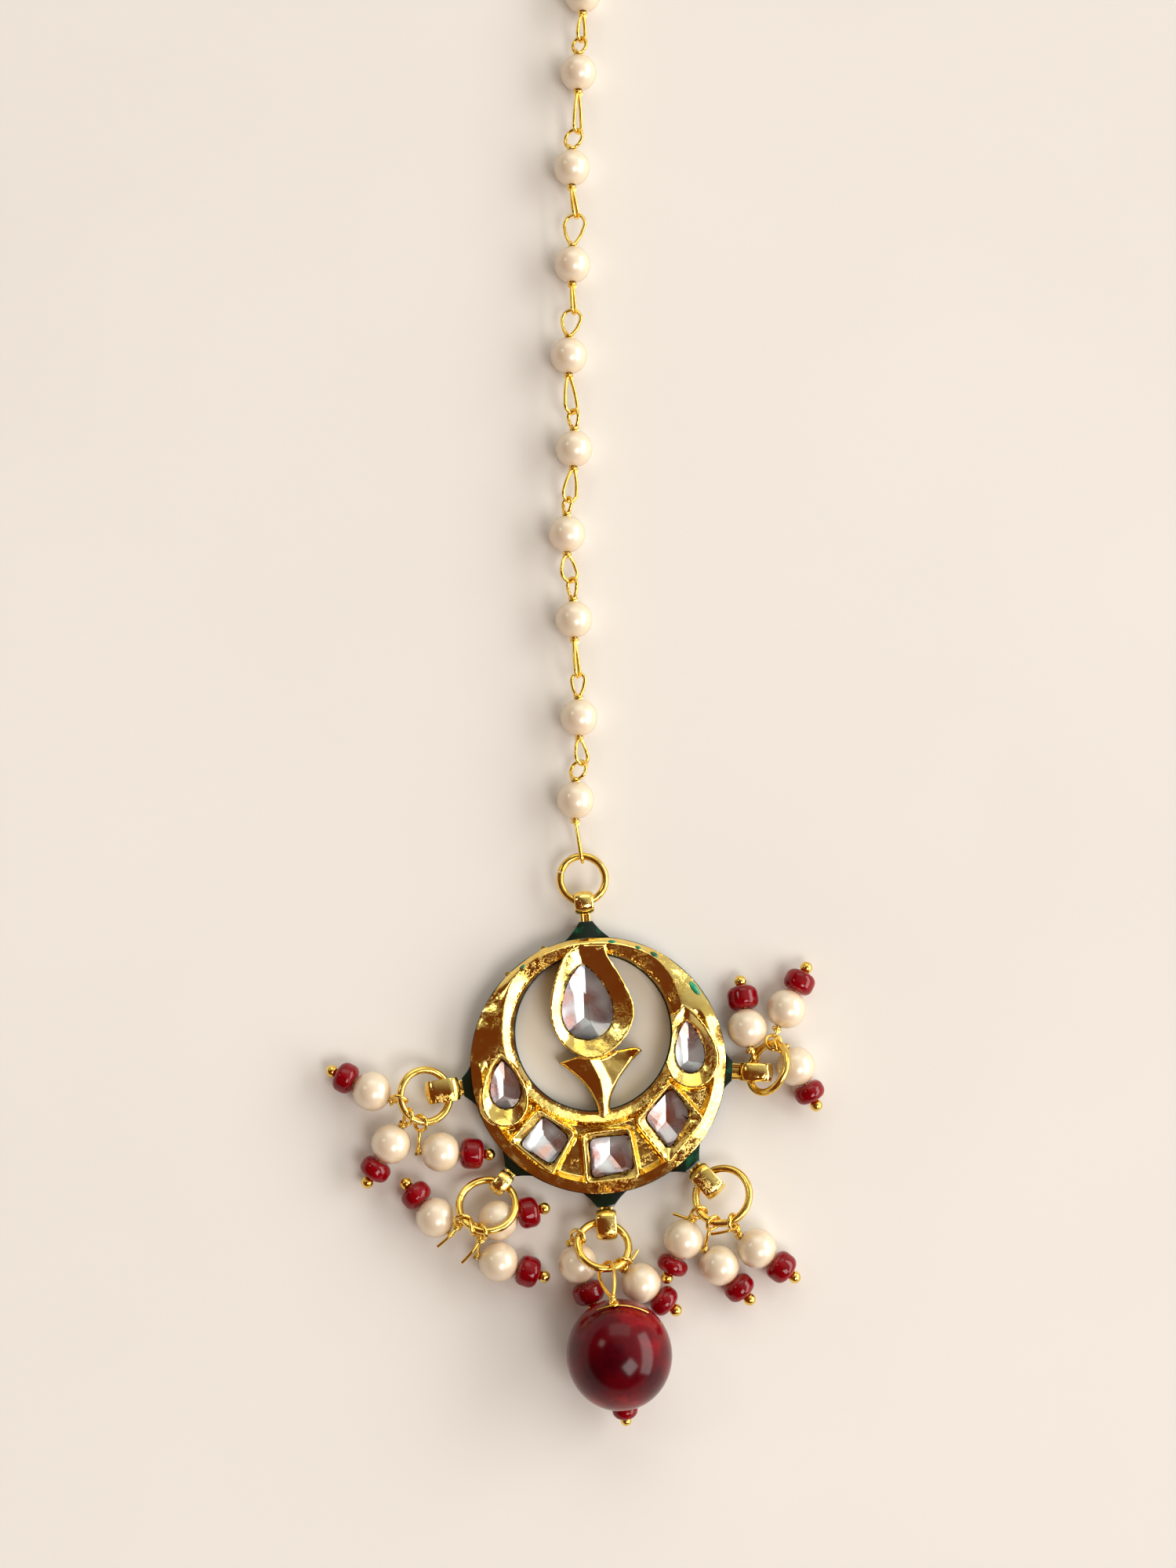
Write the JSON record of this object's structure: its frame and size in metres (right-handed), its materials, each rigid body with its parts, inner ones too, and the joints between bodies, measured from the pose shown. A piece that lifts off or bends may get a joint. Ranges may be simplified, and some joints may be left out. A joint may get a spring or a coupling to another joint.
{
  "type": "maang tikka",
  "caption": "Forehead ornament: openwork gilt medallion with clear stones and green enamel, a pearl chain with a hair hook, and clusters of pearl and red glass drops.",
  "frame": {"origin": "middle of the medallion, on the plane of its flat back, which lies on the ground", "axes": "+Y up the hair chain towards the hook, +Z out of the medallion face, +X to the right seen from the front"},
  "size_m": [0.0566, 0.1863, 0.0118],
  "materials": {
    "gilt_shell": "polished gilt foil, slightly dimpled",
    "green_enamel": "glossy fired enamel",
    "clear_stone": "clear cut glass over bright foil",
    "gilt_ring": "polished round wire",
    "gilt_wire": "polished fine wire",
    "gilt_hook": "polished round wire",
    "pearl": "warm cream pearl lustre",
    "red_glass": "deep red see-through glass",
    "dark_red_bead": "very dark red, polished, mottled inside"
  },
  "bodies": {
    "root": {"big_bead": "dark_red_bead", "bottom_drop_beads": "red_glass", "bottom_drop_pearl_1": "pearl", "bottom_drop_pearl_2": "pearl", "bottom_drop_pins": "gilt_wire", "bottom_ring": "gilt_ring", "chain_pearl_01": "pearl", "chain_pearl_02": "pearl", "chain_pearl_03": "pearl", "chain_pearl_04": "pearl", "chain_pearl_05": "pearl", "chain_pearl_06": "pearl", "chain_pearl_07": "pearl", "chain_pearl_08": "pearl", "chain_pearl_09": "pearl", "chain_pearl_10": "pearl", "chain_wire_01": "gilt_wire", "chain_wire_02": "gilt_wire", "chain_wire_03": "gilt_wire", "chain_wire_04": "gilt_wire", "chain_wire_05": "gilt_wire", "chain_wire_06": "gilt_wire", "chain_wire_07": "gilt_wire", "chain_wire_08": "gilt_wire", "chain_wire_09": "gilt_wire", "chain_wire_10": "gilt_wire", "enamel_back": "green_enamel", "hair_hook": "gilt_hook", "left_drop_beads": "red_glass", "left_drop_pearl_1": "pearl", "left_drop_pearl_2": "pearl", "left_drop_pearl_3": "pearl", "left_drop_pins": "gilt_wire", "left_pear_stone": "clear_stone", "left_ring": "gilt_ring", "left_square_stone": "clear_stone", "lower_left_drop_beads": "red_glass", "lower_left_drop_pearl_1": "pearl", "lower_left_drop_pearl_2": "pearl", "lower_left_drop_pearl_3": "pearl", "lower_left_drop_pins": "gilt_wire", "lower_left_ring": "gilt_ring", "lower_right_drop_beads": "red_glass", "lower_right_drop_pearl_1": "pearl", "lower_right_drop_pearl_2": "pearl", "lower_right_drop_pearl_3": "pearl", "lower_right_drop_pins": "gilt_wire", "lower_right_ring": "gilt_ring", "medallion_frame": "gilt_shell", "middle_square_stone": "clear_stone", "petal_stone": "clear_stone", "right_drop_beads": "red_glass", "right_drop_pearl_1": "pearl", "right_drop_pearl_2": "pearl", "right_drop_pearl_3": "pearl", "right_drop_pins": "gilt_wire", "right_pear_stone": "clear_stone", "right_ring": "gilt_ring", "right_square_stone": "clear_stone", "top_ring": "gilt_ring"}
  },
  "joints": []
}
